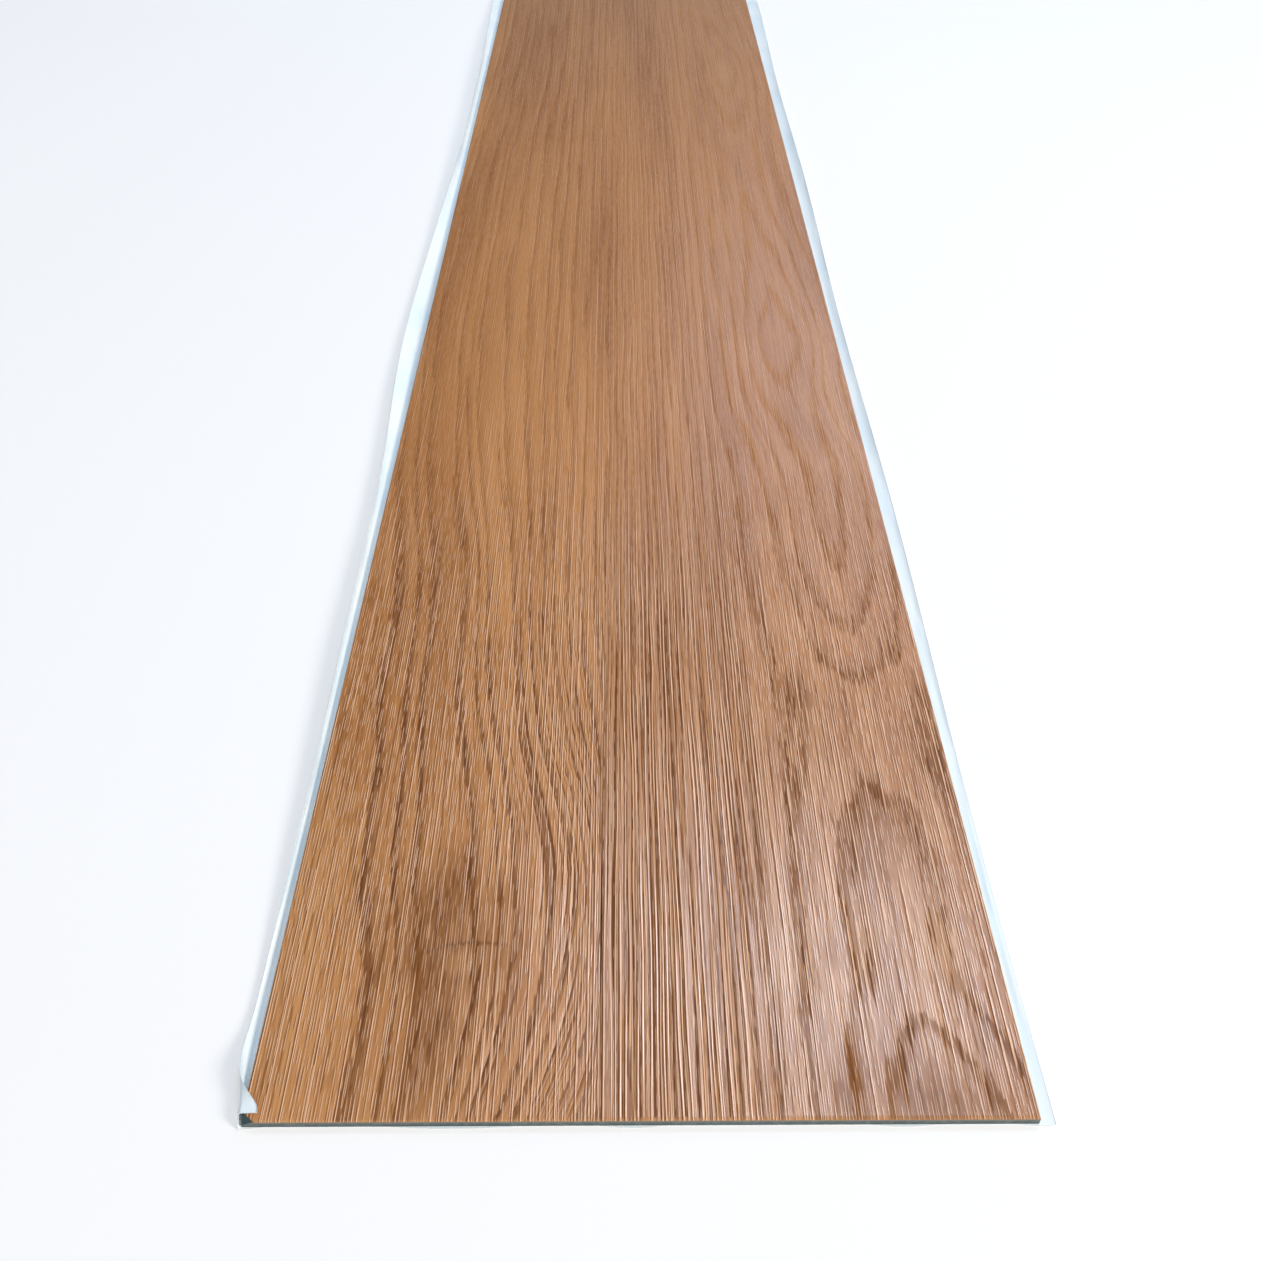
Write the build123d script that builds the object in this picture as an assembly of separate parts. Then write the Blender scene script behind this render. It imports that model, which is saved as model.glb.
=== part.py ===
from build123d import *
import os
from math import cos, exp, pi, radians, sin

os.makedirs("parts", exist_ok=True)

# Millimetres. X runs across the plank, Y along it from the front end to the rear end, Z up from the floor.

# Plank: 6 by 36 inches, one laminated piece of clear wear layer, wood print and filled vinyl core
plank_width = 152.4
plank_length = 914.4
plank_thickness = 2.0
arris_radius = 0.25  # rolled edge that die cutting leaves round the top face

# Release liner: the thin slick sheet stuck to the adhesive back, cut wider than the plank
liner_thickness = 0.15
liner_end_lap = 0.4  # shows past each end of the plank

# Free margins of the liner past the long sides of the plank, measured along the sheet
left_margin_width = 7.6
right_margin_front = 3.2  # the right margin was slit narrow at the front end and widens towards the rear
right_margin_rear = 7.6
margin_ripple = 0.5  # uneven slitting
ripple_length = 260.0
root_run = 1.9  # flat root of each margin under the plank

# Each margin turns up off the floor through an angle that swings slowly along the length.
left_turn_mean = 80.0  # degrees
left_turn_swing = 50.0
left_swing_length = 440.0
left_swing_peak = 115.0  # distance from the front end to the most upright place
right_turn_mean = 20.0
right_turn_swing = 9.0
right_swing_length = 760.0
right_swing_peak = 420.0

# The front left corner of the liner has rolled right over on to the plank.
corner_turn = 172.0  # degrees more than the margin behind it
corner_reach = 17.0  # length of margin that the roll takes up
roll_per_height = 0.95  # tightest radius of the roll as a share of the height of the plank's top face

# Sections taken along each margin, closest together at the rolled corner
station_count = 30
station_crowding = 1.7
points_per_arc = 9

plank_base = liner_thickness
plank_top = plank_base + plank_thickness
half_width = plank_width / 2
liner_length = plank_length + 2 * liner_end_lap
liner_front = -liner_length / 2
roll_radius = roll_per_height * plank_top


def left_turn(distance):
    """Angle in degrees that the left margin turns through, at a distance from the front end."""
    swing = left_turn_swing * cos(2 * pi * (distance - left_swing_peak) / left_swing_length)
    return left_turn_mean + swing + corner_turn * exp(-((distance / corner_reach) ** 2))


def right_turn(distance):
    """The same for the right margin, which has no rolled corner."""
    return right_turn_mean + right_turn_swing * cos(2 * pi * (distance - right_swing_peak) / right_swing_length)


def left_margin(distance):
    """Width of sheet in the left margin: as slit, or enough for the roll to pass over the plank."""
    slit = left_margin_width + margin_ripple * sin(2 * pi * distance / ripple_length)
    return max(slit, roll_radius * radians(left_turn(distance)))


def right_margin(distance):
    """Width of sheet in the right margin, growing evenly from the front end to the rear end."""
    widening = (right_margin_rear - right_margin_front) * distance / liner_length
    return right_margin_front + widening - margin_ripple * sin(2 * pi * distance / ripple_length)


def arc_points(side, y, width, turn, inset):
    """Points on one face of a margin: an arc that leaves the plank's side flat and turns up from there."""
    radius = width / radians(turn)
    points = []
    for step in range(points_per_arc):
        angle = radians(turn) * step / (points_per_arc - 1)
        reach = (radius - inset) * sin(angle)
        rise = radius - (radius - inset) * cos(angle)
        points.append((side * (half_width + reach), y, rise))
    return points


def margin_section(side, distance, width, turn):
    """Outline of a margin on a plane across the plank, with a short flat root under the plank."""
    y = liner_front + distance
    lower = arc_points(side, y, width, turn, 0)
    upper = arc_points(side, y, width, turn, liner_thickness)
    root_lower = (side * (half_width - root_run), y, 0)
    root_upper = (side * (half_width - root_run), y, liner_thickness)
    leaving = (side, 0, 0)
    arriving = (side * cos(radians(turn)), 0, sin(radians(turn)))
    return Wire(
        [
            Line(root_upper, root_lower),
            Line(root_lower, lower[0]),
            Spline(*lower, tangents=(leaving, arriving)),
            Line(lower[-1], upper[-1]),
            Spline(*upper, tangents=(leaving, arriving)),
            Line(upper[0], root_upper),
        ]
    )


def margin(side, width, turn):
    """A free margin of the liner, its root trimmed flat where it meets the web at the plank's side."""
    sections = []
    for station in range(station_count + 1):
        distance = liner_length * (station / station_count) ** station_crowding
        sections.append(margin_section(side, distance, width(distance), turn(distance)))
    return Solid.make_loft(sections) - Box(plank_width, 2 * liner_length, plank_thickness)


upwards = (Align.CENTER, Align.CENTER, Align.MIN)

plank = Pos(0, 0, plank_base) * Box(plank_width, plank_length, plank_thickness, align=upwards)
plank = fillet(plank.faces().sort_by(Axis.Z)[-1].edges(), arris_radius)

liner = Box(plank_width, liner_length, liner_thickness, align=upwards)
liner += margin(-1, left_margin, left_turn)
liner += margin(1, right_margin, right_turn)

export_step(plank, "parts/vinyl_plank.step")
export_step(liner, "parts/release_liner.step")
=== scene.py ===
from math import cos, radians, sin
from types import SimpleNamespace

import bpy
import numpy as np
from mathutils import Matrix, Vector


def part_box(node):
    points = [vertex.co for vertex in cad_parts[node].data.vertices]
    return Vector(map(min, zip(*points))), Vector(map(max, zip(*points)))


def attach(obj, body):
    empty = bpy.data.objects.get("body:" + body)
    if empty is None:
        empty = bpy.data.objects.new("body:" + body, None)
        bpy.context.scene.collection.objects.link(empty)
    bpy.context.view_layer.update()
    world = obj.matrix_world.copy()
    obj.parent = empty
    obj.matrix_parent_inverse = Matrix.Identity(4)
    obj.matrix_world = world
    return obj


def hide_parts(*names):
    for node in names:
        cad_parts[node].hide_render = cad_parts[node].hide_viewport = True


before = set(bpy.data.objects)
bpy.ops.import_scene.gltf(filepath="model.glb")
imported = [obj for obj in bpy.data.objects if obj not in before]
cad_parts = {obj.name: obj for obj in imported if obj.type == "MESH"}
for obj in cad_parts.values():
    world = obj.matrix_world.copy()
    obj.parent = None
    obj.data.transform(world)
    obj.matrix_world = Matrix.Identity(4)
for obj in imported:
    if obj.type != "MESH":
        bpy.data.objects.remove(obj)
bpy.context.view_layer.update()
mm = 0.001  # lengths below are in millimetres, and the meshes in metres
plankLow, plankHigh = (np.array(corner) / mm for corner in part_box("vinyl_plank"))
linerLow, linerHigh = (np.array(corner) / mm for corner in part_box("release_liner"))
plankWidth, plankLength, plankThickness = plankHigh - plankLow
linerLength = linerHigh[1] - linerLow[1]
linerThickness = plankLow[2] - linerLow[2]  # the plank lies on the liner
linerLap = plankLow[1] - linerLow[1]  # how far the liner shows past each end of the plank
print("frame loaded, plank", np.round(plankHigh - plankLow, 2), "mm")


# Small helpers for fields on a grid

latticeSize = 256  # the noise repeats after this many points


def easeStep(low, high, value):  # 0 below low, 1 above high, an S curve between
    share = np.clip((value - low) / (high - low), 0, 1)
    return share * share * (3 - 2 * share)


def between(starts, full, thins, ends, value):  # 1 from full to thins, 0 outside starts and ends, eased
    return easeStep(starts, full, value) * (1 - easeStep(thins, ends, value))


def bell(value, reach):  # 1 at 0, falling away on both sides
    return np.exp(-((value / reach) ** 2))


def roundedLine(points, value):  # a cubic through given points, each one's slope from its neighbours
    place, height = np.array(points, float).T
    slope = np.gradient(height, place)
    index = np.clip(np.searchsorted(place, value) - 1, 0, len(place) - 2)
    span = place[index + 1] - place[index]
    share = np.clip((value - place[index]) / span, 0, 1)
    square, cube = share**2, share**3
    return (
        height[index] * (2 * cube - 3 * square + 1)
        + slope[index] * span * (cube - 2 * square + share)
        + height[index + 1] * (3 * square - 2 * cube)
        + slope[index + 1] * span * (cube - square)
    )


def latticeNoise(across, along, seed):  # random heights, 0 to 1, on whole-number points, eased between them
    heights = np.random.default_rng(seed).random((latticeSize, latticeSize))
    column, row = np.floor(across).astype(int), np.floor(along).astype(int)
    easeAcross, easeAlong = easeStep(0, 1, across - column), easeStep(0, 1, along - row)
    left, right = column % latticeSize, (column + 1) % latticeSize
    low, high = row % latticeSize, (row + 1) % latticeSize
    near = heights[left, low] * (1 - easeAcross) + heights[right, low] * easeAcross
    far = heights[left, high] * (1 - easeAcross) + heights[right, high] * easeAcross
    return near * (1 - easeAlong) + far * easeAlong


def closerSpacing(count, crowding):  # 0 to 1 in count steps, closest together at the start
    return np.linspace(0, 1, count) ** crowding


def sheetFaces(index):  # the quads between neighbouring points of a grid of vertex numbers
    return np.stack([index[:-1, :-1], index[1:, :-1], index[1:, 1:], index[:-1, 1:]], axis=-1).reshape(-1, 4)


def makePiece(name, points, faces, attributes, materialOf):  # points in mm, faces as lists of vertex numbers
    mesh = bpy.data.meshes.new(name)
    mesh.from_pydata((points * mm).tolist(), [], faces)
    for key, values in attributes.items():
        field = mesh.attributes.new(key, "FLOAT_VECTOR", "POINT")
        field.data.foreach_set("vector", values.astype(np.float32).ravel())
    mesh.polygons.foreach_set("material_index", materialOf)
    mesh.polygons.foreach_set("use_smooth", np.ones(len(mesh.polygons), bool))
    mesh.validate()
    piece = bpy.data.objects.new(name, mesh)
    bpy.context.scene.collection.objects.link(piece)
    return piece


# Shader sockets that take part in Python sums

laneStride = 1.37  # lanes this far apart in the noise are unlike one another


class Wire:
    def __init__(self, tree, socket):
        self.tree = tree
        self.socket = socket

    def node(self, kind, settings, sockets, output=0):
        made = self.tree.nodes.new(kind)
        for key, value in settings.items():
            setattr(made, key, value)
        for key, value in sockets.items():
            if isinstance(value, Wire):
                self.tree.links.new(value.socket, made.inputs[key])
            else:
                made.inputs[key].default_value = value
        return Wire(self.tree, made.outputs[output])

    def maths(self, operation, *values):
        return self.node("ShaderNodeMath", {"operation": operation}, dict(enumerate(values)))

    def __add__(self, other):
        return self.maths("ADD", self, other)

    __radd__ = __add__

    def __mul__(self, other):
        return self.maths("MULTIPLY", self, other)

    __rmul__ = __mul__

    def __sub__(self, other):
        return self.maths("SUBTRACT", self, other)

    def __rsub__(self, other):
        return self.maths("SUBTRACT", other, self)

    def __truediv__(self, other):
        return self.maths("DIVIDE", self, other)

    def fraction(self):
        return self.maths("FRACT", self)

    def size(self):
        return self.maths("ABSOLUTE", self)

    def atLeast(self, other):
        return self.maths("MAXIMUM", self, other)

    def atMost(self, other):
        return self.maths("MINIMUM", self, other)

    def ease(self, low, high):  # 0 at low, 1 at high, an S curve between; low may be the higher one
        if low > high:
            return 1 - self.ease(high, low)
        settings = {"interpolation_type": "SMOOTHSTEP"}
        return self.node("ShaderNodeMapRange", settings, {"Value": self, "From Min": low, "From Max": high})

    def paint(self, below, above):  # this value's share of one colour laid over another
        return self.node("ShaderNodeMix", {"data_type": "RGBA"}, {0: self, 6: below, 7: above}, output=2)

    def split(self):
        node = self.node("ShaderNodeSeparateXYZ", {}, {0: self}).socket.node
        return [Wire(self.tree, output) for output in node.outputs]

    def field(self, name):  # the three numbers that the mesh carries under this name
        return self.node("ShaderNodeAttribute", {"attribute_name": name}, {}, output="Vector").split()

    def noise(self, scale, detail):  # cloudy noise at the place that this wire gives
        return self.node("ShaderNodeTexNoise", {}, {"Vector": self, "Scale": scale, "Detail": detail})

    def streaks(self, along, across, length, seed, detail):  # noise drawn out along the grain, sizes in mm
        place = self.node("ShaderNodeCombineXYZ", {}, {0: self / across, 1: along / length, 2: seed})
        return place.noise(1.0, detail)

    def lines(self, along, pitch, length, seed):
        # one line in each lane, at a chance place in its middle half: mm off that line, and its strength
        lane = self / pitch
        number = lane.maths("FLOOR", lane)
        chance = self.node("ShaderNodeTexWhiteNoise", {"noise_dimensions": "1D"}, {"W": number + seed})
        place = self.node("ShaderNodeCombineXYZ", {}, {0: number * laneStride + seed, 1: along / length})
        sockets = {"Vector": place, "Scale": 1.0, "Detail": 0.0}
        strength = self.node("ShaderNodeTexNoise", {"noise_dimensions": "2D"}, sockets)
        return (lane - number - (chance * 0.5 + 0.25)) * pitch, strength


def newFinish(name):  # an empty Principled material: its first wire and its shader
    material = bpy.data.materials.new(name)
    material.use_nodes = True
    shader = material.node_tree.nodes["Principled BSDF"]
    return material, Wire(material.node_tree, None), shader


def connect(start, shader, links):  # sets a shader's inputs, or links wires to them
    for key, value in links.items():
        if isinstance(value, Wire):
            start.tree.links.new(value.socket, shader.inputs[key])
        else:
            shader.inputs[key].default_value = value


def bumpOf(height, strength, distance):  # a Bump node, its distance in metres
    return height.node("ShaderNodeBump", {}, {"Strength": strength, "Distance": distance, "Height": height})


def rgb(red, green, blue):  # a colour as seen on a screen, 0 to 255, made linear for the shader
    seen = np.array([red, green, blue]) / 255
    return (*np.where(seen <= 0.04045, seen / 12.92, ((seen + 0.055) / 1.055) ** 2.4), 1.0)


# Grain of the print: places are mm from the left edge, and mm along from the front end

grainShape = {
    # how far lines right of the knot are pushed across, by distance along
    "knotPush": [(0, 2.5), (10, 6), (22, 9.5), (36, 12.5), (50, 14.5), (60, 14.5), (72, 12.5), (86, 9),
                 (100, 5.6), (114, 3.4), (130, 1.5), (150, 0.2), (165, 0), (920, 0)],
    "knotPushFrom": (18.0, 48.0),
    "mergeLine": 68.0,  # where the pushed lines run into the straight grain
    # how far lines near the left edge are pushed across
    "edgePush": [(0, 8.6), (31, 7.8), (46, 5.9), (59, 3.6), (73, 2.9), (92, 1.8), (110, 0), (132, -0.8),
                 (152, -1.8), (171, -3.8), (186, -6), (204, -9), (260, -14), (400, -17), (640, -12),
                 (920, -18)],
    "edgePushTo": (15.0, 62.0),
    # the cathedral figure: where its axis runs, and how many rings its arches cross along that axis
    "archAxis": [(0, 136), (12, 134.6), (25, 132.6), (42, 131.8), (67, 132.4), (88, 130.9), (114, 134.5),
                 (165, 135.5), (221, 136), (265, 130), (300, 131), (450, 128), (600, 130), (760, 124),
                 (920, 128)],
    "archMiddle": 132.0,
    "archFrom": (98.0, 122.0),
    "archRings": [(0, -1.2), (14, -0.7), (20, -0.4), (25, 0), (56, 0.3), (72, 0.5), (81, 0.7), (88, 1),
                  (101, 1.15), (114.5, 1), (135, 0), (165, -1), (220, -1.6), (256, -1.9), (274, -2.3),
                  (300, -2.9), (330, -2.4), (360, -1.9), (420, -1.2), (500, -1.0), (560, -2.0), (600, -2.8),
                  (650, -1.8), (720, -1), (800, -2.2), (860, -1.4), (920, -0.5)],
    "archReach": 20.0,
    # growth rings met on the way out from that axis, by distance from it
    "ringsFromAxis": [(0, 0), (2.7, 0.16), (5.4, 0.34), (8.2, 0.53), (11.4, 0.75), (13.2, 1.06), (20, 1.6),
                      (25, 2.1), (29, 2.7), (34, 4), (64, 16), (67, 17), (71, 18), (75.5, 19), (79.5, 20),
                      (82, 21), (85.6, 22), (90, 23), (96, 24), (98.4, 25), (102.4, 26), (111.3, 27),
                      (115, 28), (121.3, 29), (130, 29.4), (150, 29.5)],
    # slow wander of the rings: size across and along, seed, rings
    "wander": [(13.0, 60.0, 3, 0.3), (4.0, 24.0, 4, 0.18)],
    "denseGrain": (60.0, 71.0, 96.0, 110.0),  # straight grain close together: starts, is full, thins, ends
    "denseEnds": (100.0, 270.0),  # along the plank
    "denseRagged": (9.0, 31.0, 15),  # how far its sides wander, over what length, seed
    "curvedGrain": (36.0, 44.0, 63.0, 66.0),  # lines engraved right of the knot, in the same form
    "curvedAlong": (25.0, 60.0, 110.0, 190.0),  # they rise, are whole, thin and end along the plank
    "curvedLeast": 0.12,  # share of them before they rise
}


def grainAcross(straight, along):
    # where a grain line ends up: pushed to the right by the knot, but never past the merge line
    push = roundedLine(grainShape["knotPush"], along) * easeStep(*grainShape["knotPushFrom"], straight)
    room = np.maximum(grainShape["mergeLine"] - straight, 0)
    return straight + push * room / (np.sqrt(np.sqrt(push**4 + room**4)) + 1e-6)  # never divided by 0


def ringNumber(straight, across, along):
    # rings met between the axis and this place, plus the arches near the axis, plus a slow wander
    edge = roundedLine(grainShape["edgePush"], along) * (1 - easeStep(*grainShape["edgePushTo"], straight))
    axis = roundedLine(grainShape["archAxis"], along)
    middle = grainShape["archMiddle"]
    pattern = straight - edge + (middle - axis) * easeStep(*grainShape["archFrom"], straight)
    rings = roundedLine(grainShape["ringsFromAxis"], np.abs(pattern - middle))
    rings = rings + roundedLine(grainShape["archRings"], along) * bell(across - axis, grainShape["archReach"])
    for sizeAcross, sizeAlong, seed, share in grainShape["wander"]:
        rings = rings + share * (latticeNoise(pattern / sizeAcross, along / sizeAlong, seed) - 0.5)
    return pattern, rings


def denseShare(straight, along):
    # share of the dense straight grain: a band along the plank with wandering sides, fading towards the rear
    reach, length, seed = grainShape["denseRagged"]
    ragged = straight + reach * (latticeNoise(0 * straight, along / length, seed) - 0.5)
    return between(*grainShape["denseGrain"], ragged) * (1 - easeStep(*grainShape["denseEnds"], along))


def curvedShare(straight, along):
    # share of the lines engraved right of the knot: a band across, rising and then fading along the plank
    rises, whole, thins, ends = grainShape["curvedAlong"]
    least = grainShape["curvedLeast"]
    risen = least + (1 - least) * easeStep(rises, whole, along)
    return between(*grainShape["curvedGrain"], straight) * (1 - easeStep(thins, ends, along)) * risen


# Plank: its top is a height field on a grid that follows the grain, three columns to a lane of embossing

plankShape = {
    "lanes": 148,
    "laneSeed": 12,
    "laneSpread": 0.9,  # how much lanes differ in width, as a share of the mean
    "laneSway": (1.1, 7.0, 44.0, 16),  # how far lanes wander, over what distance across and along, seed
    "swayFrom": (0.3, 6.0),  # that wander grows over this distance from the long edges
    "flatShare": (0.3, 0.6),  # least and most of a lane that stays flat beside its groove
    "floorPlace": (0.35, 0.65),  # nearest and farthest place of a groove's floor, as a share of its width
    "grooveDepth": 0.085,
    # grooves that come and go: length, shift from lane to lane, seed, noise where they start and are whole
    "longGroove": (60.0, 7.3, 13, 0.22, 0.5),
    "shortGroove": (13.0, 5.7, 14, 0.42, 0.66),
    "besideRing": (0.45, 0.85, 0.95, 1.0),  # part of each ring where short grooves are deepest
    "awayFromRing": 0.45,  # their depth elsewhere
    "groovesFade": (150.0, 330.0),
    "farDepth": 0.5,  # share of a groove's depth past that
    "grooveRunOut": (0.1, 1.2),  # grooves run out towards the plank's edges
    "rows": 200,
    "rowCrowding": 1.35,
    "arris": 0.25,
    "arrisSteps": (0.0, 0.02, 0.08, 0.16),
    "wornCorner": (2.8, 2.4, 1.2),  # front left corner worn to the core: reach across and along, depth
}


def laneColumns():
    # each lane is a flat and a V groove: columns where the flat starts and ends, and at the groove's floor
    lanes, inner = plankShape["lanes"], plankShape["arris"]
    chance = np.random.default_rng(plankShape["laneSeed"]).random((3, lanes))
    width = 1 + plankShape["laneSpread"] * (chance[2] - 0.5)
    edges = inner + (plankWidth - 2 * inner) * np.concatenate([[0], np.cumsum(width) / width.sum()])
    low, high = plankShape["flatShare"]
    flatEnd = edges[:-1] + np.diff(edges) * (low + (high - low) * chance[0])
    near, far = plankShape["floorPlace"]
    floor = flatEnd + (edges[1:] - flatEnd) * (near + (far - near) * chance[1])
    lip = np.array(plankShape["arrisSteps"])
    columns = np.stack([edges[:-1], flatEnd, floor], -1).ravel()
    place = np.concatenate([lip, columns, edges[-1:], plankWidth - lip[::-1]])
    laneOf = np.concatenate([0 * lip, np.repeat(np.arange(lanes), 3), [0], 0 * lip])
    isFloor = np.concatenate([0 * lip, np.tile([0, 0, 1], lanes), [0], 0 * lip])
    return place, laneOf, isFloor


def grooveRun(kind, along, laneOf):  # stretches of each lane that are grooved
    length, shift, seed, starts, whole = plankShape[kind]
    return easeStep(starts, whole, latticeNoise(laneOf * 1.0, along / length + shift * laneOf, seed))


def grooves(straight, along, rings, laneOf):
    # long grooves in the dense grain, every other lane engraved right of the knot, short ones elsewhere
    dense = denseShare(straight, along)
    longRun, shortRun = grooveRun("longGroove", along, laneOf), grooveRun("shortGroove", along, laneOf)
    curved = curvedShare(straight, along) * (laneOf % 2) * longRun
    depth = np.maximum(plankShape["awayFromRing"], between(*plankShape["besideRing"], rings % 1))
    plain = np.maximum(shortRun * depth, curved)
    far = (1 - plankShape["farDepth"]) * easeStep(*plankShape["groovesFade"], along)
    return (dense * longRun + (1 - dense) * plain) * (1 - far)


def plankTop():
    # a grid: columns pushed and swayed sideways with the grain, rows closest together at the front end
    place, laneOf, isFloor = laneColumns()
    lip, inner = np.array(plankShape["arrisSteps"]), plankShape["arris"]
    middle = inner + (plankLength - 2 * inner) * closerSpacing(plankShape["rows"], plankShape["rowCrowding"])
    rowPlace = np.concatenate([lip, middle, plankLength - lip[::-1]])
    top = SimpleNamespace()
    top.straight, top.along = np.meshgrid(place, rowPlace, indexing="ij")
    reach, swayAcross, swayAlong, seed = plankShape["laneSway"]
    sway = reach * (latticeNoise(top.straight / swayAcross, top.along / swayAlong, seed) - 0.5)
    sway = sway * easeStep(*plankShape["swayFrom"], np.minimum(top.straight, plankWidth - top.straight))
    top.across = grainAcross(top.straight, top.along) + sway
    top.pattern, top.rings = ringNumber(top.straight, top.across, top.along)
    toSide = np.minimum(top.across, plankWidth - top.across)
    toEnd = np.minimum(top.along, plankLength - top.along)
    top.toEdge = np.minimum(toSide, toEnd)
    top.groove = grooves(top.straight, top.along, top.rings, laneOf[:, None]) * isFloor[:, None]
    top.groove = top.groove * easeStep(*plankShape["grooveRunOut"], top.toEdge)
    return top


def plankHeight(top):
    # the flat face, less the larger of the rolled arris and the worn corner, less the grooves
    inner = plankShape["arris"]
    short = np.clip(inner - top.toEdge, 0, inner)
    drop = inner - np.sqrt(inner**2 - short**2)
    wornAcross, wornAlong, wornDepth = plankShape["wornCorner"]
    worn = wornDepth * np.clip(1 - top.across / wornAcross - top.along / wornAlong, 0, 1)
    return plankHigh[2] - np.maximum(drop, worn) - plankShape["grooveDepth"] * top.groove


def plankSides(number):
    # walls from the grid's rim down to its feet, and an underside of strips between the long sides' feet,
    # with fans of triangles at both ends: the rim's vertex numbers, and the faces
    columns, rows = number.shape
    rim = np.concatenate([number[:, 0], number[-1, 1:], number[-2::-1, -1], number[0, -2:0:-1]])
    foot = number.size + np.arange(len(rim))
    walls = np.stack([rim, np.roll(rim, -1), np.roll(foot, -1), foot], -1)[:, ::-1]
    front, right = foot[:columns], foot[columns - 1 : columns + rows - 1]
    rear = foot[columns + rows - 2 : 2 * columns + rows - 2][::-1]
    left = np.concatenate([foot[:1], foot[2 * columns + rows - 2 :][::-1], rear[:1]])
    strips = np.stack([left[1:-2], left[2:-1], right[2:-1], right[1:-2]], -1)
    half = columns // 2
    fans = [
        (np.full(half, left[1]), front[1 : half + 1], front[:half]),
        (np.full(columns - 1 - half, right[1]), front[half + 1 :], front[half:-1]),
        ([left[1]], [right[1]], [front[half]]),
        (np.full(half, left[-2]), rear[:half], rear[1 : half + 1]),
        (np.full(columns - 1 - half, right[-2]), rear[half:-1], rear[half + 1 :]),
        ([left[-2]], [rear[half]], [right[-2]]),
    ]
    fans = np.concatenate([np.stack([np.asarray(side) for side in fan], -1) for fan in fans])
    return rim, walls.tolist() + strips.tolist() + fans.tolist()


# Tones of the print that the mesh carries

printTones = {
    # smears of colour: middle across and along, reach across and along, share of colour
    "knot": [
        (33, 49, 8, 13, 0.8), (32, 22, 11, 22, 0.25), (46, 38, 5, 13, 0.5),
        (33, 36, 7, 8, 0.45), (32, 8, 7, 9, 0.35), (35.5, 57, 3.5, 9, 0.5),
        (47.5, 53, 3, 5, 0.25), (29, 33.5, 3, 3.4, 0.7), (36.5, 30.6, 5, 2.4, 0.5),
        (35.8, 19, 3.4, 10, 0.8), (20.5, 32.5, 1.8, 4, 0.65), (2, 154, 2.4, 6, 0.45),
        (132, 80, 4.8, 7, 0.35), (131, 66, 7, 12, 0.3), (134, 4, 10, 9, 0.7),
        (119, 8, 5, 10, 0.5), (111.5, 90, 1.5, 8, 0.3), (110.8, 57.5, 2, 6, 0.5),
        (117, 37, 2.2, 5, 0.45), (115.5, 6, 2.6, 6, 0.5), (131.9, 56, 0.5, 19, 0.5),
        (148.6, 100, 0.5, 24, 0.4), (131, 246, 3, 14, 0.25), (24, 330, 6, 70, 0.2),
        (24, 670, 6, 45, 0.2),
    ],
    # light smears of the print: those in the figure about 40 mm along are partly its pale heart and partly
    # painted sheen, and those along the right edge from about 210 to 330 mm along are painted sheen
    "pale": [
        (38.5, 34.6, 4.2, 2.4, 0.35), (138, 39, 4.4, 11, 0.75), (143, 37, 3, 12, 0.5),
        (107.5, 40, 2.5, 13, 0.5), (124.5, 41, 3.5, 11, 0.5), (6, 45, 5, 40, 0.25),
        (139, 221, 3.5, 9, 0.3), (137, 256, 3, 12, 0.35), (147, 260, 6, 70, 0.4),
        (130, 600, 6, 22, 0.2),
    ],
    # patches where the slow tone is dull, or bright where the share is below 0
    "dull": [
        (93, 65, 7, 30, 0.9), (91, 160, 9, 90, 1.1), (112, 215, 7, 50, 0.7),
        (4, 150, 6, 70, 1.1), (59, 55, 6, 75, -0.8), (45, 115, 22, 55, -0.3),
        (116, 112, 5, 16, -0.8),
    ],
    "dulling": 0.35,  # how far a patch pulls the slow tone down
    # slow drifts: size across and along, seed, how far they stray from the middle
    "broad": (13.0, 200.0, 31, 0.75),
    "cloud": (5.0, 14.0, 32, 0.75),
    "sway": (5.0, 42.0, 33, 0.6),
    "fineDrift": (2.3, 100, 0.35),  # a finer drift in each: how much closer, added to the seed, its share
}


def smearShare(name, top):
    # bell-shaped smears laid over one another: one less the product of what each leaves bare
    bare = np.ones_like(top.across)
    for middleAcross, middleAlong, reachAcross, reachAlong, share in printTones[name]:
        smear = bell(top.across - middleAcross, reachAcross) * bell(top.along - middleAlong, reachAlong)
        bare = bare * (1 - share * smear)
    return 1 - bare


def drift(name, across, along):
    # two sizes of lattice noise added, about a half
    sizeAcross, sizeAlong, seed, stray = printTones[name]
    closer, seedStep, fineShare = printTones["fineDrift"]
    coarse = latticeNoise(across / sizeAcross, along / sizeAlong, seed)
    fine = latticeNoise(across / sizeAcross * closer, along / sizeAlong * closer, seed + seedStep)
    return 0.5 + stray * (coarse * (1 - fineShare) + fine * fineShare - 0.5)


def plankFields(top, footCount):
    # what the finish reads at each point of the top; the feet of the walls carry none of it
    knot, pale, dull = (smearShare(name, top) for name in ("knot", "pale", "dull"))
    broad = drift("broad", top.pattern, top.along) - printTones["dulling"] * dull
    cloud, sway = (drift(name, top.across, top.along) for name in ("cloud", "sway"))
    triples = {
        "grainFlow": (top.pattern, top.along, top.rings),
        "embossing": (top.groove, top.across, top.toEdge),
        "printTones": (broad, knot, pale),
        "printDrifts": (cloud, sway, denseShare(top.straight, top.along)),
    }
    bare = np.zeros((footCount, 3))
    rows = {key: np.stack(triple, -1).reshape(-1, 3) for key, triple in triples.items()}
    return {key: np.concatenate([row, bare]) for key, row in rows.items()}


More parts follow.
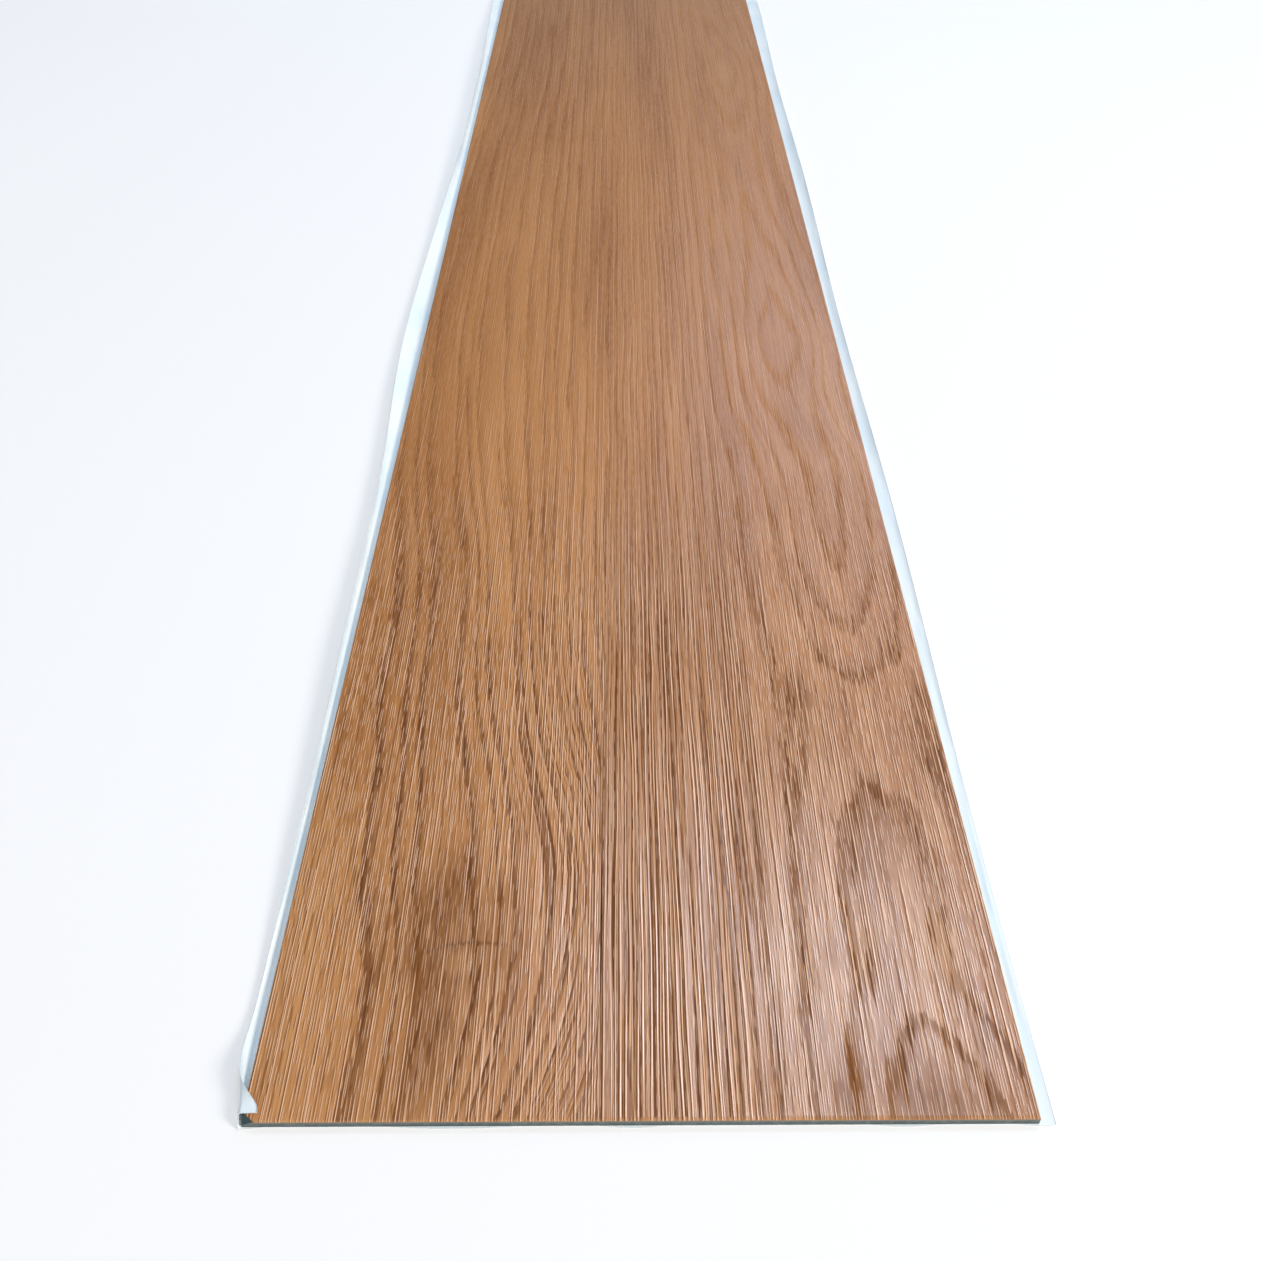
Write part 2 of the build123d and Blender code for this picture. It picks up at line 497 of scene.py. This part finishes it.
def plankMesh():
    top = plankTop()
    place = np.stack([plankLow[0] + top.across, plankLow[1] + top.along, plankHeight(top)], -1)
    number = np.arange(top.along.size).reshape(top.along.shape)
    rim, sides = plankSides(number)
    foot = place.reshape(-1, 3)[rim]
    foot[:, 2] = plankLow[2]
    upper = sheetFaces(number).tolist()
    finish = np.repeat([0, 1], [len(upper), len(sides)])  # the print on top, the cut edge on the rest
    points = np.concatenate([place.reshape(-1, 3), foot])
    return makePiece("plankBoard", points, upper + sides, plankFields(top, len(foot)), finish)


plank = plankMesh()
print("plank meshed:", len(plank.data.polygons), "faces")


# Print finish: oak colours laid down ring by ring and fibre by fibre, under a satin wear layer

printColours = {
    "ground": rgb(179, 118, 62),
    "amber": rgb(203, 140, 80),
    "deep": rgb(134, 82, 38),
    "ringLine": rgb(106, 60, 24),
    "groove": rgb(106, 60, 24),
    "pale": rgb(212, 158, 106),
    # the lit threads' colour: partly paler print, partly a painted highlight of the embossing
    "thread": rgb(250, 198, 156),
    "knot": rgb(116, 66, 18),
}

printFinish = {
    "roughness": 0.5,
    "specular": 0.15,
    "gloss": 0.27,  # roughness of the clear wear layer over the print
    "glossIndex": 2.0,
    "glossShare": (0.42, 0.85),  # weight of that layer on plain print, and on lit threads
    "glossLost": (0.6, 0.7),  # how far ring lines and knot smears dull it
    "bump": (0.7, 0.00005),  # strength, and height of a thread in metres
    # noise drawn out along the grain: size across and along, seed, detail
    "fibre": (1.5, 70.0, 2.0, 2.0),
    "hair": (0.45, 30.0, 3.0, 1.0),
    "stroke": (0.4, 6.0, 4.0, 0.0),
    # fades along the plank: gone by, whole up to, and the least that stays
    "near": (300.0, 80.0, 0.5),
    "front": (250.0, 100.0, 0.3),
    "crisp": (230.0, 80.0, 0.3),
    "figured": (96.0, 116.0),  # the cathedral figure lies to the right of these
    "fibreFar": 0.3,  # how much stronger fibres show towards the rear
    "strokeDepth": (0.25, 0.75, 0.6, 0.6),  # strokes that shade smears: from, to, how much, and the least
    # worn corner: how ragged its edge is, and where it starts and is bare
    "wornRagged": 0.3,
    "wornFrom": (1.0, 0.85),
    # curved crack over the knot: its top, its bend, its ends and how they run out, how ragged and how wide
    "crackTop": (42.0, 40.0),
    "crackBend": 0.0204,
    "crackEnds": (28.5, 50.0),
    "crackRunOut": 4.0,
    "crackRagged": 1.4,
    "crackWidth": (0.8, 0.1),
    "crackShare": 0.6,
}

printRings = {
    "strokeJitter": 0.3,
    "fibreJitter": (1.5, 1.2),  # rings strayed by fibres, and how much less near the front
    "calmer": 0.2,  # share of the jitter lost in the cathedral figure
    # part of each ring that the soft band and the dark line take up, and how both end before the next
    "band": (0.3, 0.94),
    "line": (0.64, 0.84),
    "end": (1.0, 0.95),
    "bandShare": 0.42,
    "broken": (0.3, 0.6, 0.55),  # strokes that break the line up: gone by, whole from, least that stays
    "toned": (0.66, 0.36, 0.75),  # slow tone that weakens it, in the same form
    "figured": (250.0, 180.0, 0.4),  # how the figure's rings fade along the plank, in the same form
    "thinned": (90.0, 130.0, 0.25, 0.36),  # how its line thins: from, to, how much more, how much at all
}

printLayers = {
    # layers of the print: value where a layer starts and where it is whole, and its share of colour there
    "amber": (0.3, 0.7, 1.0),
    "fibrePale": (0.5, 0.74, 0.3),
    "fibreDeep": (0.5, 0.26, 0.35),
    "cloudPale": (0.5, 0.72, 0.28),
    "cloudDeep": (0.5, 0.28, 0.28),
    "hairPale": (0.52, 0.72, 0.38),
    "hairDeep": (0.48, 0.28, 0.42),
    "pore": (0.46, 0.3, 0.3),
    "fleck": (0.56, 0.72, 0.2),
    # painted shade: the print darkened towards the rear, standing in for less light falling there
    "rear": (190.0, 400.0, 0.18),
    "farRear": (400.0, 760.0, 0.22),
    "groove": (0.05, 0.6, 1.0),
    "rubbedEdge": (0.45, 0.1, 0.1),
}

# the lit lines below give painted highlights and their shadow lines give painted shadows in the print's
# colour; both also feed the bump and the gloss
printThreads = {
    # threads of the embossing, one to a lane: pitch across, run along, seed, where a run starts and is whole,
    # half width of the lit line, how far off its shadow is, and half width of the shadow
    "hatch": ((0.6, 5.5, 31.0), (0.4, 0.56), (0.15, 0.04), 0.2, (0.18, 0.05)),
    "tick": ((1.7, 38.0, 5.0), (0.5, 0.66), (0.17, 0.05), 0.22, (0.2, 0.05)),
    "ridge": ((0.9, 50.0, 90.0), (0.35, 0.55), (0.18, 0.05), 0.32, (0.26, 0.08)),
    "uprightSway": 0.7,  # how far hatch and ticks sway
    "ridgeSway": (1.8, 0.4),  # and ridges, by slow drifts and by fibres
    "knotHides": 0.6,
    "denseHides": 0.5,  # share of the hatch that the dense grain takes away
    "hatchShare": 0.68,
    "crowd": (10.0, 66.0, 0.16, 0.9),  # ticks crowd across the plank: from, to, how much, less in the figure
    "litShare": 0.96,
    "shadowShare": 0.88,
    "grooveShare": (0.85, 0.05),  # grooves' colour at the front, and what is added everywhere
    "ridgePale": 0.05,
}


def layer(value, name):  # share of colour that a layer lays down at this value
    low, high, share = printLayers[name]
    return value.ease(low, high) * share


def paintOver(colour, layers):  # each layer is a share and the name of its colour
    for share, name in layers:
        colour = share.paint(colour, printColours[name])
    return colour


def fade(value, gone, whole, least):  # 1 from whole on, and the least that stays from gone on
    return value.ease(gone, whole) * (1 - least) + least


def readPrint(start):
    # fields that the mesh carries, noise drawn out along the grain, and fades along and across the plank
    at = SimpleNamespace()
    at.pattern, at.along, at.rings = start.field("grainFlow")
    at.groove, at.across, at.toEdge = start.field("embossing")
    at.broad, at.knot, at.pale = start.field("printTones")
    at.cloud, at.sway, at.dense = start.field("printDrifts")
    at.fibre = at.pattern.streaks(at.along, *printFinish["fibre"])
    at.hair = at.pattern.streaks(at.along, *printFinish["hair"])
    at.stroke = at.across.streaks(at.along, *printFinish["stroke"])
    at.near, at.front, at.crisp = (fade(at.along, *printFinish[name]) for name in ("near", "front", "crisp"))
    at.figured = at.across.ease(*printFinish["figured"])
    return at


def ringMarks(at):
    # the ring number's fraction, strayed by strokes and fibres: a soft band and a dark line end each ring
    far, nearer = printRings["fibreJitter"]
    jitter = (at.stroke - 0.5) * printRings["strokeJitter"] + (at.fibre - 0.5) * (far - at.near * nearer)
    ring = (at.rings + jitter * (1 - at.figured * at.front * printRings["calmer"])).fraction()
    end = ring.ease(*printRings["end"])
    return ring.ease(*printRings["band"]) * end, ring.ease(*printRings["line"]) * end


def ringShares(at):
    # how strongly the soft band and the dark line show
    faint = 1 - at.figured * (1 - fade(at.along, *printRings["figured"]))
    uneven = fade(at.stroke, *printRings["broken"]) * fade(at.broad, *printRings["toned"])
    low, high, more, atAll = printRings["thinned"]
    thinned = 1 - at.figured * (at.along.ease(low, high) * more + atAll)
    return at.near * faint * printRings["bandShare"], uneven * at.crisp * faint * thinned


def grainColour(at, band, line):
    # two browns, then fibres, clouds in the figure, rings, hairs, pores and flecks, and painted shade that
    # darkens the rear
    coarse = (1 + printFinish["fibreFar"]) - at.near * printFinish["fibreFar"]
    bandShare, lineShare = ringShares(at)
    ground = layer(at.broad, "amber").paint(printColours["ground"], printColours["amber"])
    return paintOver(ground, [
        (layer(at.fibre, "fibrePale") * coarse, "pale"),
        (layer(at.fibre, "fibreDeep") * coarse, "deep"),
        (layer(at.cloud, "cloudPale") * at.figured * at.front, "pale"),
        (layer(at.cloud, "cloudDeep") * at.figured * at.front, "deep"),
        (band * bandShare, "deep"),
        (line * lineShare, "ringLine"),
        (layer(at.hair, "hairPale") * at.front, "pale"),
        (layer(at.hair, "hairDeep") * at.front, "deep"),
        (layer(at.stroke, "pore") * at.front, "deep"),
        (layer(at.stroke, "fleck") * at.front, "pale"),
        # painted shade: darker towards the rear
        (layer(at.along, "rear") + layer(at.along, "farRear"), "deep"),
    ])


def crackShare(at):
    # a thin crack over the knot: a ragged parabola, running out at both ends
    middle, level = printFinish["crackTop"]
    off = at.across - middle
    ragged = (at.stroke - 0.5) * printFinish["crackRagged"]
    crack = (at.along - (level - off * off * printFinish["crackBend"] + ragged)).size()
    (low, high), run = printFinish["crackEnds"], printFinish["crackRunOut"]
    ends = at.across.ease(low, low + run) * at.across.ease(high, high - run)
    return crack.ease(*printFinish["crackWidth"]) * ends * printFinish["crackShare"]


def thread(kind, place, along, crowd=0.0):
    # one kind of thread: where it runs, its lit line for a painted highlight, and the line beside it for a
    # painted shadow
    lane, starts, litWidth, shadowOff, shadowWidth = printThreads[kind]
    off, run = place.lines(along, *lane)
    lit, shadow = off.size().ease(*litWidth), (off + shadowOff).size().ease(*shadowWidth)
    return (run + crowd).ease(*starts), lit, shadow


def embossing(at):
    # masks for painted highlights on the threads and painted shadows beside them: short hatch, longer ticks,
    # and unbroken ridges in the dense grain
    upright = at.across + at.sway * printThreads["uprightSway"]
    bySway, byFibre = printThreads["ridgeSway"]
    swaying = at.across + at.sway * bySway + at.fibre * byFibre
    low, high, more, figureLess = printThreads["crowd"]
    crowd = at.across.ease(low, high) * (1 - at.figured * figureLess) * more
    hatchRun, hatchLit, hatchShade = thread("hatch", upright, at.along)
    tickRun, tickLit, tickShade = thread("tick", upright, at.along, crowd)
    ridgeRun, ridgeLit, ridgeShade = thread("ridge", swaying, at.along)
    clear = (1 - at.knot * printThreads["knotHides"]) * at.front
    hatchOn = hatchRun * clear * (1 - at.dense * printThreads["denseHides"]) * printThreads["hatchShare"]
    tickOn = tickRun * clear * (1 - at.dense)
    ridgeOn = ridgeRun * at.dense * at.front
    lit = hatchLit * hatchOn + tickLit * tickOn + ridgeLit * ridgeOn
    shade = hatchShade * hatchOn + tickShade * tickOn + ridgeShade * ridgeOn
    return lit.atMost(1.0), shade.atMost(1.0)


def wornCornerAndShade(at):  # 1 where the front left corner is worn through the print, with a ragged edge; there the dark core colour is also painted shade for the inside of the liner's fold
    wornAcross, wornAlong = plankShape["wornCorner"][:2]
    ragged = (at.stroke - 0.5) * printFinish["wornRagged"]
    return (at.across / wornAcross + at.along / wornAlong + ragged).ease(*printFinish["wornFrom"])


def makePrint():
    material, start, shader = newFinish("oakPrint")
    at = readPrint(start)
    band, line = ringMarks(at)
    lit, shade = embossing(at)
    worn, groove = wornCornerAndShade(at), layer(at.groove, "groove")
    low, high, depth, least = printFinish["strokeDepth"]
    shaded = at.stroke.ease(low, high) * depth + least
    frontGroove, everyGroove = printThreads["grooveShare"]
    colour = paintOver(grainColour(at, band, line), [
        (at.knot * shaded, "knot"),
        # pale smears, some of them painted sheen
        (at.pale * shaded, "pale"),
        (crackShare(at), "ringLine"),
        ((1 - at.groove) * at.dense * printThreads["ridgePale"], "pale"),
        (groove * (at.front * frontGroove + everyGroove), "groove"),
        # painted shadow beside each thread, then its painted highlight, partly paler print
        (shade * printThreads["shadowShare"], "groove"),
        (lit * printThreads["litShare"], "thread"),
        (layer(at.toEdge, "rubbedEdge"), "pale"),
    ])
    # the worn corner in the dark core colour: partly wear, partly painted shade inside the liner's fold
    colour = worn.paint(colour, edgeFinish["coreDark"])

    plain, raised = printFinish["glossShare"]
    byLine, byKnot = printFinish["glossLost"]
    sunk = groove.atLeast(shade).atLeast(line * byLine + at.knot * byKnot + worn).atMost(1.0)
    gloss = (1 - sunk) * (lit * (raised - plain) + plain)
    bump = bumpOf(lit - shade, *printFinish["bump"])
    connect(start, shader, {
        "Base Color": colour,
        "Roughness": printFinish["roughness"],
        "Specular IOR Level": printFinish["specular"],
        "Normal": bump,
        "Coat Weight": gloss,
        "Coat Roughness": printFinish["gloss"],
        "Coat IOR": printFinish["glossIndex"],
    })
    return material


# Cut edge: grey-green filled vinyl under a thin brown film

edgeFinish = {
    "core": rgb(112, 124, 118),
    "coreDark": rgb(72, 86, 86),
    "film": rgb(148, 130, 110),
    "filmFrom": (0.5, 0.86),  # as a share of the plank's thickness
    "filmShare": 0.8,
    "speck": (900.0, 3.0),  # noise in the core: scale and detail
    "smear": (60.0, 2.0),
    "speckFrom": (0.4, 0.7),
    "speckShare": 0.6,
    "roughness": 0.62,
    "bump": (0.4, 0.0001),
}


def makeEdge():
    material, start, shader = newFinish("cutVinyl")
    place = start.node("ShaderNodeTexCoord", {}, {}, output="Object")
    height = (place.split()[2] / mm - float(plankLow[2])) / float(plankThickness)
    speck, smear = place.noise(*edgeFinish["speck"]), place.noise(*edgeFinish["smear"])
    share = edgeFinish["speckShare"]
    mottled = speck.ease(*edgeFinish["speckFrom"]) * share + smear * (1 - share)
    film = height.ease(*edgeFinish["filmFrom"]) * edgeFinish["filmShare"]
    colour = film.paint(mottled.paint(edgeFinish["coreDark"], edgeFinish["core"]), edgeFinish["film"])
    bump = bumpOf(speck, *edgeFinish["bump"])
    connect(start, shader, {"Base Color": colour, "Roughness": edgeFinish["roughness"], "Normal": bump})
    return material


plank.data.materials.append(makePrint())
plank.data.materials.append(makeEdge())
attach(plank, "root")
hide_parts("vinyl_plank")
print("plank dressed")


# Release liner: a thin sheet under the plank whose free margins turn up and wave

linerShape = {
    "rows": 300,
    "rowCrowding": 1.7,
    "stepsAcross": 26,  # across each margin
    "webSteps": 37,  # across the web under the plank
    # width of the left margin by distance from the front end
    "leftMargin": [(0, 3.0), (40, 3.1), (80, 4.2), (115, 5.4), (210, 5.9), (300, 7.6), (380, 7.0), (600, 7.2),
                   (920, 7.4)],
    "rightMargin": (3.2, 7.6),  # at the front end and at the rear end
    "ripple": (0.5, 260.0),  # uneven slitting: how far, over what length
    "leftRippleFrom": (20.0, 120.0),
    "leftTurn": (80.0, 50.0, 440.0, 115.0),  # mean and swing in degrees, length of the swing, its peak
    "leftEasing": (45.0, 30.0, 95.0),  # degrees flatter at the front end, up to where, and gone by where
    "rightTurn": (20.0, 9.0, 760.0, 420.0),
    # crinkles: height at the rim, power they grow by towards it, number across, length along, seed
    "crinkles": [(0.16, 1, 3.0, 9.0, 21), (0.5, 2, 1.5, 34.0, 22)],
    "crinkleShift": 7,  # between the noise of one margin and of the other
    "crinkleFrom": 30.0,
    "cornerFold": 176.0,  # degrees that the front left corner is turned over
    "cornerReach": 13.0,
    "foldRadius": 0.57,  # as a share of the height of the plank's top
    "flap": (3.2, 10.0),  # how far the fold lies over the plank at the front end, and where it has none
    "mouth": (1.25, 4.0),  # the fold opens by this factor at the front end, over this length
    "snug": 0.45,  # share by which the fold is drawn in against the plank's side
    "cutBack": (1.7, 4.0),  # how far the flap's front end is cut back, over what length
    "cutFrom": (0.1, 0.6),  # shares of the margin's width where the cut starts and is whole
    "frontBits": [(40.0, 9.0), (75.0, 4.0), (127.0, 4.0)],  # middle and half width of what laps the front end
    "tuckReach": 2.0,  # how far back the front end is tucked in between those bits
    "flatSteps": 400,  # places where its flat width is measured
}


def cornerFold(side, distance):  # 1 at the front left corner, falling away behind it, 0 on the right
    return bell(distance, linerShape["cornerReach"]) * (side < 0)


def marginBend(side, distance):
    # a margin's turn in radians, its radius and its flat flap: a slow swing, and the front left corner folded
    mean, swing, length, peak = linerShape["leftTurn" if side < 0 else "rightTurn"]
    turn = np.radians(mean + swing * np.cos(2 * np.pi * (distance - peak) / length))
    height, length = linerShape["ripple"]
    ripple = height * np.sin(2 * np.pi * distance / length)
    if side > 0:
        front, rear = linerShape["rightMargin"]
        return turn, (front + (rear - front) * distance / distance.max() - ripple) / turn, 0 * distance
    flatter, whole, gone = linerShape["leftEasing"]
    turn = turn - radians(flatter) * (1 - easeStep(whole, gone, distance))
    width = roundedLine(linerShape["leftMargin"], distance)
    width = width + ripple * easeStep(*linerShape["leftRippleFrom"], distance)
    fold = cornerFold(side, distance)
    wider, mouth = linerShape["mouth"]
    opening = 1 + (wider - 1) * bell(distance, mouth)
    radius = width / turn * (1 - fold) + linerShape["foldRadius"] * plankHigh[2] * fold * opening
    over, runOut = linerShape["flap"]
    flap = over * (1 - easeStep(0, runOut, distance))
    return turn * (1 - fold) + radians(linerShape["cornerFold"]) * fold, radius, flap


def marginWidth(side, distance):  # the sheet's own width past the plank: its arc and its flap
    turn, radius, flap = marginBend(side, distance)
    return turn * radius + flap


def marginCrinkle(side, share, distance):  # two sizes of noise that grow towards the margin's rim
    crinkle = 0
    for height, power, number, length, seed in linerShape["crinkles"]:
        noise = latticeNoise(share * number + linerShape["crinkleShift"] * side, distance / length, seed)
        crinkle = crinkle + height * share**power * (noise - 0.5)
    return crinkle * easeStep(0, linerShape["crinkleFrom"], distance)


def marginFaces(side, distance):
    # two faces of a margin: arcs about one centre, a thickness apart, then a straight flap
    share = np.linspace(0, 1, linerShape["stepsAcross"])[:, None]
    turn, radius, flap = marginBend(side, distance)
    run = share * (turn * radius + flap)
    angle = np.minimum(run / radius, turn)
    past = np.maximum(run - turn * radius, 0)
    crinkle = marginCrinkle(side, share, distance)
    back, length = linerShape["cutBack"]
    setBack = back * easeStep(*linerShape["cutFrom"], share) * bell(distance, length) * (side < 0)
    drawnIn = 1 - linerShape["snug"] * cornerFold(side, distance)
    layers = []
    for inset in (0, linerThickness):
        reach = (radius - inset - crinkle) * np.sin(angle) * drawnIn + past * np.cos(angle)
        rise = radius - (radius - inset - crinkle) * np.cos(angle) + past * np.sin(angle)
        place = [side * (plankHigh[0] + reach), linerLow[1] + distance + setBack, np.maximum(rise, inset)]
        layers.append(np.stack(place, -1))
    return layers


def webFaces(distance):
    # two flat faces under the plank, the front end tucked back level with the plank but for a few bits
    across = np.linspace(0, plankWidth, linerShape["webSteps"] + 2)[1:-1, None]
    bits = [np.exp(-(((across - middle) / half) ** 4)) for middle, half in linerShape["frontBits"]]
    tuck = linerLap * (1 - np.max(bits, axis=0)) * bell(distance, linerShape["tuckReach"])
    place = [plankLow[0] + across + 0 * distance, linerLow[1] + distance + tuck]
    return [np.stack([*place, inset + 0 * tuck], -1) for inset in (0, linerThickness)]


def linerMesh():
    # lower and upper faces carried right across, margin, web and margin, with rims that close the sheet
    distance = (linerLength * closerSpacing(linerShape["rows"], linerShape["rowCrowding"]))[None, :]
    left, web, right = marginFaces(-1, distance), webFaces(distance), marginFaces(1, distance)
    lower = np.concatenate([left[0][::-1], web[0], right[0]])
    upper = np.concatenate([left[1][::-1], web[1], right[1]])
    columns, rows = lower.shape[:2]
    under = np.arange(columns * rows).reshape(columns, rows)
    over = under + columns * rows
    rims = [
        np.stack([under[:, 0], over[:, 0]]),
        np.stack([over[:, -1], under[:, -1]]),
        np.stack([over[0], under[0]]),
        np.stack([under[-1], over[-1]]),
    ]
    faces = [sheetFaces(over), sheetFaces(under[::-1])] + [sheetFaces(rim) for rim in rims]
    faces = np.concatenate(faces).tolist()
    points = np.concatenate([lower.reshape(-1, 3), upper.reshape(-1, 3)])
    return makePiece("linerSheet", points, faces, {}, np.zeros(len(faces), int))


liner = linerMesh()
print("liner meshed:", len(liner.data.polygons), "faces")


# Liner finish: slick coated sheet, pale and cool

linerFinish = {
    "sheet": rgb(247, 254, 254),
    "shade": rgb(236, 248, 252),
    "cloud": (35.0, 3.0),  # noise: scale and detail
    "cloudFrom": (0.35, 0.65),
    "grain": (1400.0, 2.0),
    "roughness": (0.3, 0.15),  # least, and how much more in the clouds
    "cloudRelief": 3.0,  # height of the clouds beside that of the grain
    "bump": (0.2, 0.0001),
}


def makeLinerFinish():
    material, start, shader = newFinish("slickLiner")
    place = start.node("ShaderNodeTexCoord", {}, {}, output="Object")
    cloud, grain = place.noise(*linerFinish["cloud"]), place.noise(*linerFinish["grain"])
    colour = cloud.ease(*linerFinish["cloudFrom"]).paint(linerFinish["shade"], linerFinish["sheet"])
    least, more = linerFinish["roughness"]
    bump = bumpOf(grain + cloud * linerFinish["cloudRelief"], *linerFinish["bump"])
    connect(start, shader, {"Base Color": colour, "Roughness": least + cloud * more, "Normal": bump})
    return material


def flatSheet():
    # the sheet before it was laid: its widest and its length, and its area from the mean width
    distance = np.linspace(0, linerLength, linerShape["flatSteps"])
    width = plankWidth + marginWidth(-1, distance) + marginWidth(1, distance)
    return (width.max() * mm, linerLength * mm), width.mean() * linerLength * mm * mm


liner.data.materials.append(makeLinerFinish())
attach(liner, "root")
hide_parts("release_liner")
linerFlat, linerArea = flatSheet()
print("liner dressed")


# Floor, light and camera: places, sizes and reaches here are in metres

stageSet = {
    "floorReach": 15.0,
    "coveRise": 3.8,  # height of the pale rim round the floor
    "coveSides": 48,
    "floorGap": 0.05,  # between the floor and the liner, in mm
    "floorColour": rgb(253, 253, 253),
    "floorRoughness": 0.9,
    "floorSpecular": 0.1,
    "floorGlow": 0.4,  # share of plain white that the camera and reflections see on it
    "sky": rgb(244, 247, 252),
    "skyStrength": (0.04, 0.75),  # least and most
    "skyLean": 30.0,  # degrees that its bright side leans from overhead towards the front
    "skyEase": (0.3, 0.9),
    # lamps: place, aim, size, power in watts, colour
    "lamps": {
        "keySoftbox": ((0.26, 0.36, 1.25), (0.0, -0.2, 0.0), (0.5, 0.3), 5.4, (0.62, 0.78, 1.0)),
        "sideSoftbox": ((1.35, -1.05, 0.95), (0.0, -0.35, 0.0), (0.6, 0.6), 25.0, (1.0, 0.95, 0.89)),
        "windowSoftbox": ((0.9, 1.95, 1.5), (0.0, -0.1, 0.0), (1.7, 0.9), 11.5, (0.52, 0.68, 1.0)),
    },
}


def makeFloor():
    # a disc, and round it a rim of its own points that rises as a backdrop
    sides, level = stageSet["coveSides"], linerLow[2] - stageSet["floorGap"]
    angle = 2 * np.pi * np.arange(sides) / sides
    circle = np.stack([np.cos(angle), np.sin(angle), 0 * angle], -1)
    ring = circle * stageSet["floorReach"] / mm + [0, 0, level]
    points = np.concatenate([ring, ring, ring + [0, 0, stageSet["coveRise"] / mm]])
    here = sides + np.arange(sides)
    beside = np.roll(here, -1)
    rim = np.stack([here, here + sides, beside + sides, beside], -1)
    faces = [list(range(sides))] + rim.tolist()
    floor = makePiece("paleFloor", points, faces, {}, np.zeros(len(faces), int))
    floor.data.materials.append(makeFloorPaint())


def makeFloorPaint():
    # matt paint, mixed with plain white for rays from the camera and from reflections
    material, start, shader = newFinish("paleFloorPaint")
    connect(start, shader, {"Base Color": stageSet["floorColour"], "Roughness": stageSet["floorRoughness"]})
    connect(start, shader, {"Specular IOR Level": stageSet["floorSpecular"]})
    rays = start.node("ShaderNodeLightPath", {}, {}).socket.node
    isCamera, isGlossy = (Wire(start.tree, rays.outputs[key]) for key in ("Is Camera Ray", "Is Glossy Ray"))
    seen = isCamera.atLeast(isGlossy) * stageSet["floorGlow"]
    glow = start.node("ShaderNodeEmission", {}, {"Color": (1, 1, 1, 1), "Strength": 1.0})
    paint = Wire(start.tree, shader.outputs[0])
    mixed = start.node("ShaderNodeMixShader", {}, {0: seen, 1: paint, 2: glow})
    connect(start, start.tree.nodes["Material Output"], {"Surface": mixed})
    return material


def makeLamp(name, place, aim, size, power, colour):
    lamp = bpy.data.lights.new(name, "AREA")
    lamp.shape = "RECTANGLE"
    lamp.size, lamp.size_y = size
    lamp.energy = power
    lamp.color = colour
    holder = bpy.data.objects.new(name, lamp)
    toward = (Vector(place) - Vector(aim)).to_track_quat("Z", "Y")
    holder.matrix_world = Matrix.Translation(place) @ toward.to_matrix().to_4x4()
    bpy.context.scene.collection.objects.link(holder)


def makeSky():
    # dim all round, brighter towards a side that leans from overhead to the front
    world = bpy.data.worlds.new("softSky")
    world.use_nodes = True
    background = world.node_tree.nodes["Background"]
    start = Wire(world.node_tree, None)
    y, z = start.node("ShaderNodeTexCoord", {}, {}, output="Generated").split()[1:]
    lean, (low, high) = radians(stageSet["skyLean"]), stageSet["skyStrength"]
    strength = (z * cos(lean) - y * sin(lean)).ease(*stageSet["skyEase"]) * (high - low) + low
    connect(start, background, {"Color": stageSet["sky"], "Strength": strength})
    bpy.context.scene.world = world


cameraSet = {
    "place": (-0.0043, -0.5750, 0.2307),
    "turn": -0.71,  # degrees to the left, from looking along the plank
    "tilt": 41.5,  # degrees down
    "roll": 0.43,
    "lens": 36.0,
    "sensor": 36.0,
    "nearest": 0.01,
}


def makeCamera():
    camera = bpy.data.cameras.new("viewer")
    camera.lens = cameraSet["lens"]
    camera.sensor_width = cameraSet["sensor"]
    camera.clip_start = cameraSet["nearest"]
    holder = bpy.data.objects.new("viewer", camera)
    turn = Matrix.Rotation(radians(cameraSet["turn"]), 4, "Z")
    tilt = Matrix.Rotation(radians(90 - cameraSet["tilt"]), 4, "X")
    roll = Matrix.Rotation(radians(cameraSet["roll"]), 4, "Z")
    holder.matrix_world = Matrix.Translation(cameraSet["place"]) @ turn @ tilt @ roll
    bpy.context.scene.collection.objects.link(holder)
    bpy.context.scene.camera = holder


makeFloor()
makeSky()
for name, lamp in stageSet["lamps"].items():
    makeLamp(name, *lamp)
makeCamera()
bpy.context.scene.view_settings.view_transform = "Standard"
print("stage set")
